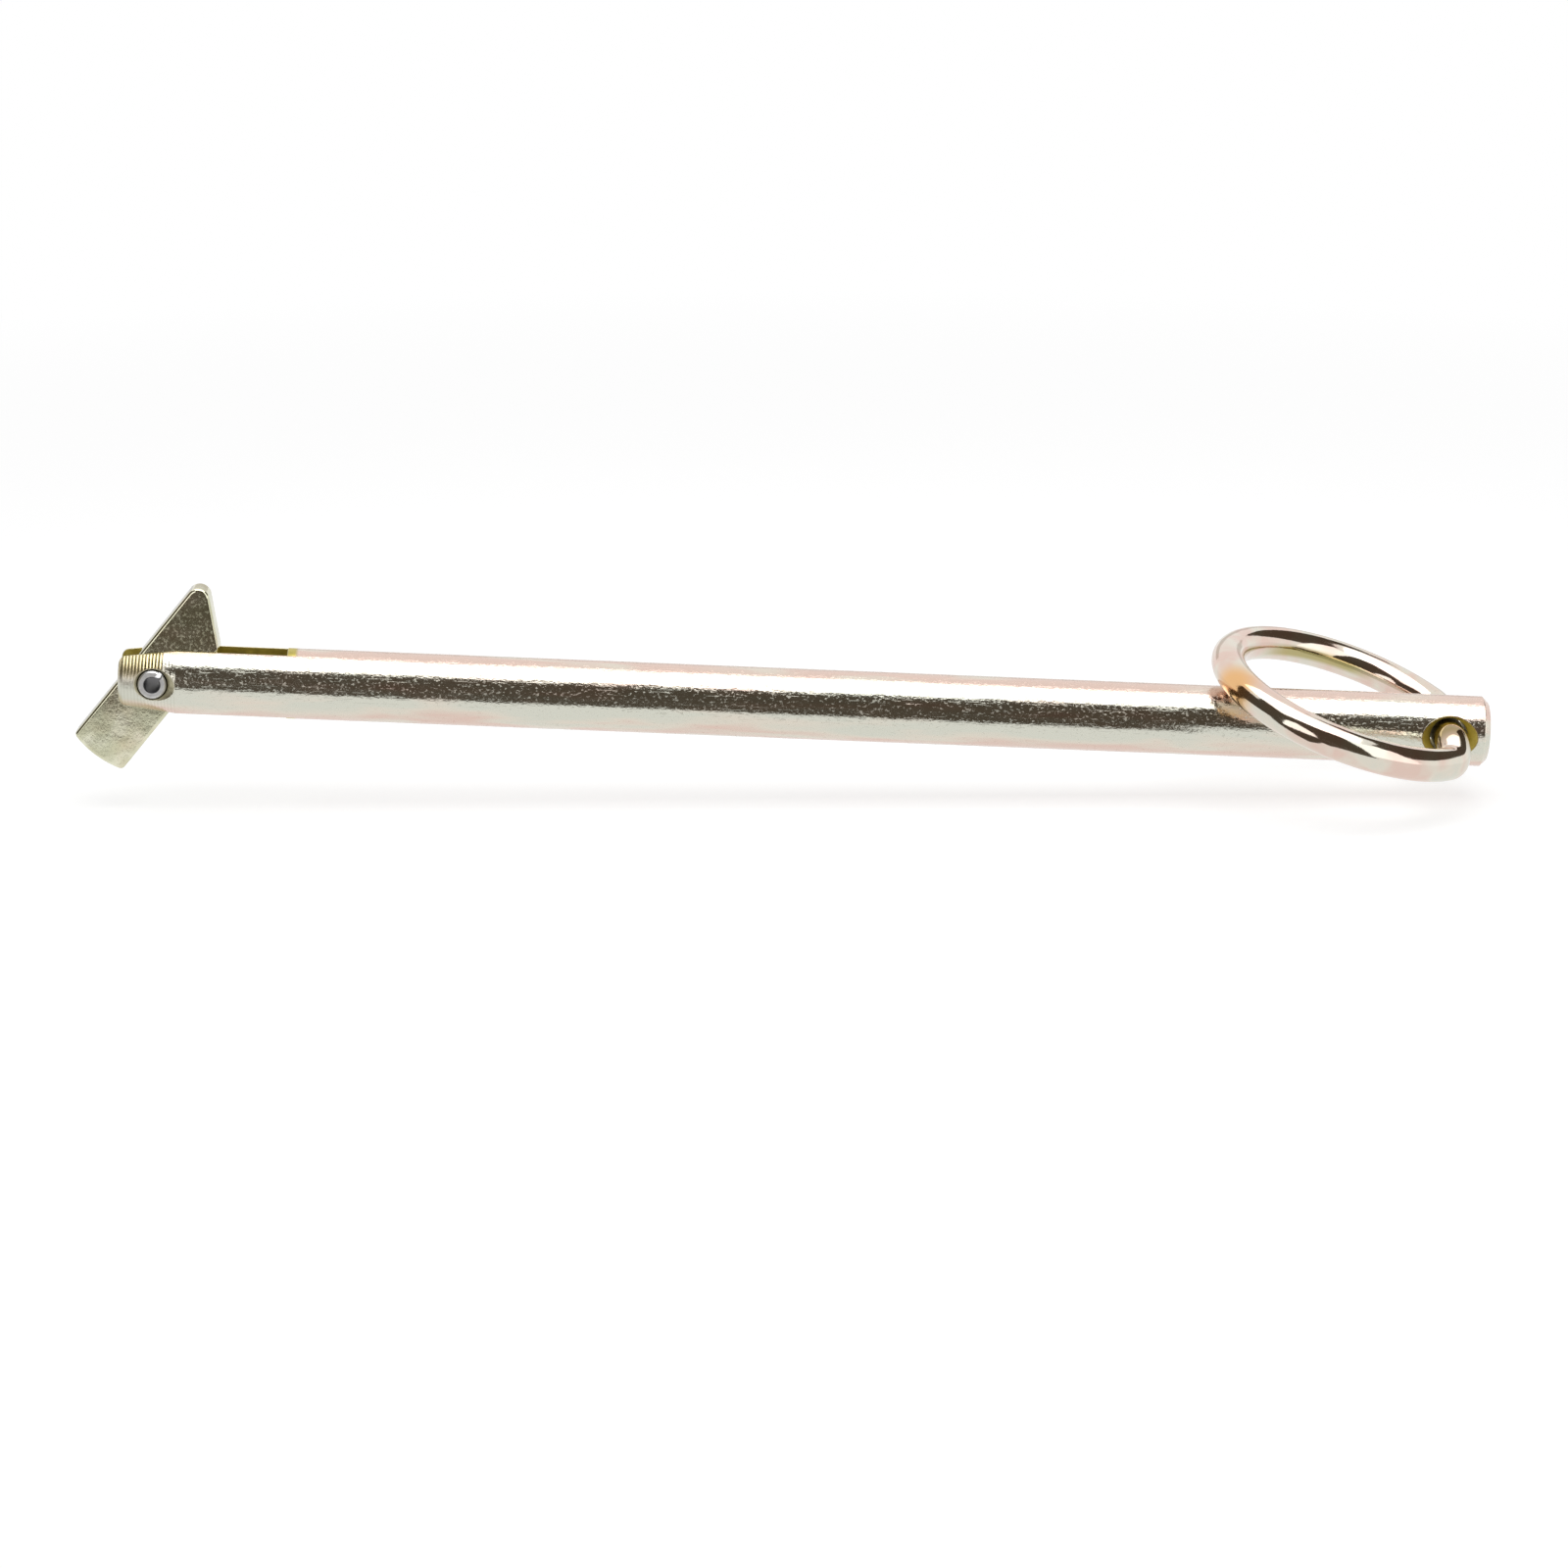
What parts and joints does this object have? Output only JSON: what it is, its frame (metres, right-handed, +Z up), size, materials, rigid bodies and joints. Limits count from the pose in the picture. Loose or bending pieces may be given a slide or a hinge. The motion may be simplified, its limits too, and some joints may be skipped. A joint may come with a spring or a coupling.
{
  "type": "toggle locking hitch pin",
  "caption": "Round steel hitch pin with a flat toggle that swings in its forked, tapered nose and a bent wire pull ring hinged through the other end.",
  "frame": {"origin": "on the bar's axis, half way between the nose face and the ring end", "axes": "+X along the bar from the toggle's nose to the ring end, +Z up, +Y along both hinge axes"},
  "size_m": [0.3183, 0.0646, 0.0425],
  "materials": {
    "yellow_zinc_bar": "yellow zinc plated over a lightly grained bar",
    "yellow_zinc_plate": "yellow zinc plated over a stamped plate",
    "plain_spring_steel": "plain grey steel",
    "yellow_zinc_wire": "bright yellow zinc plated, smooth drawn wire"
  },
  "bodies": {
    "shank": {"shank": "yellow_zinc_bar", "pivot_roll_pin": "plain_spring_steel"},
    "toggle": {"toggle": "yellow_zinc_plate"},
    "pull_ring": {"pull_ring": "yellow_zinc_wire"}
  },
  "joints": [
    {"name": "toggle_swing", "type": "hinge", "parent": "shank", "child": "toggle", "pos_m": [-0.1464, 0, 0], "axis": [0, 1, 0], "continuous": true},
    {"name": "ring_swing", "type": "hinge", "parent": "shank", "child": "pull_ring", "pos_m": [0.145, 0, 0], "axis": [0, 1, 0], "range_deg": [-1.5, 331]}
  ]
}
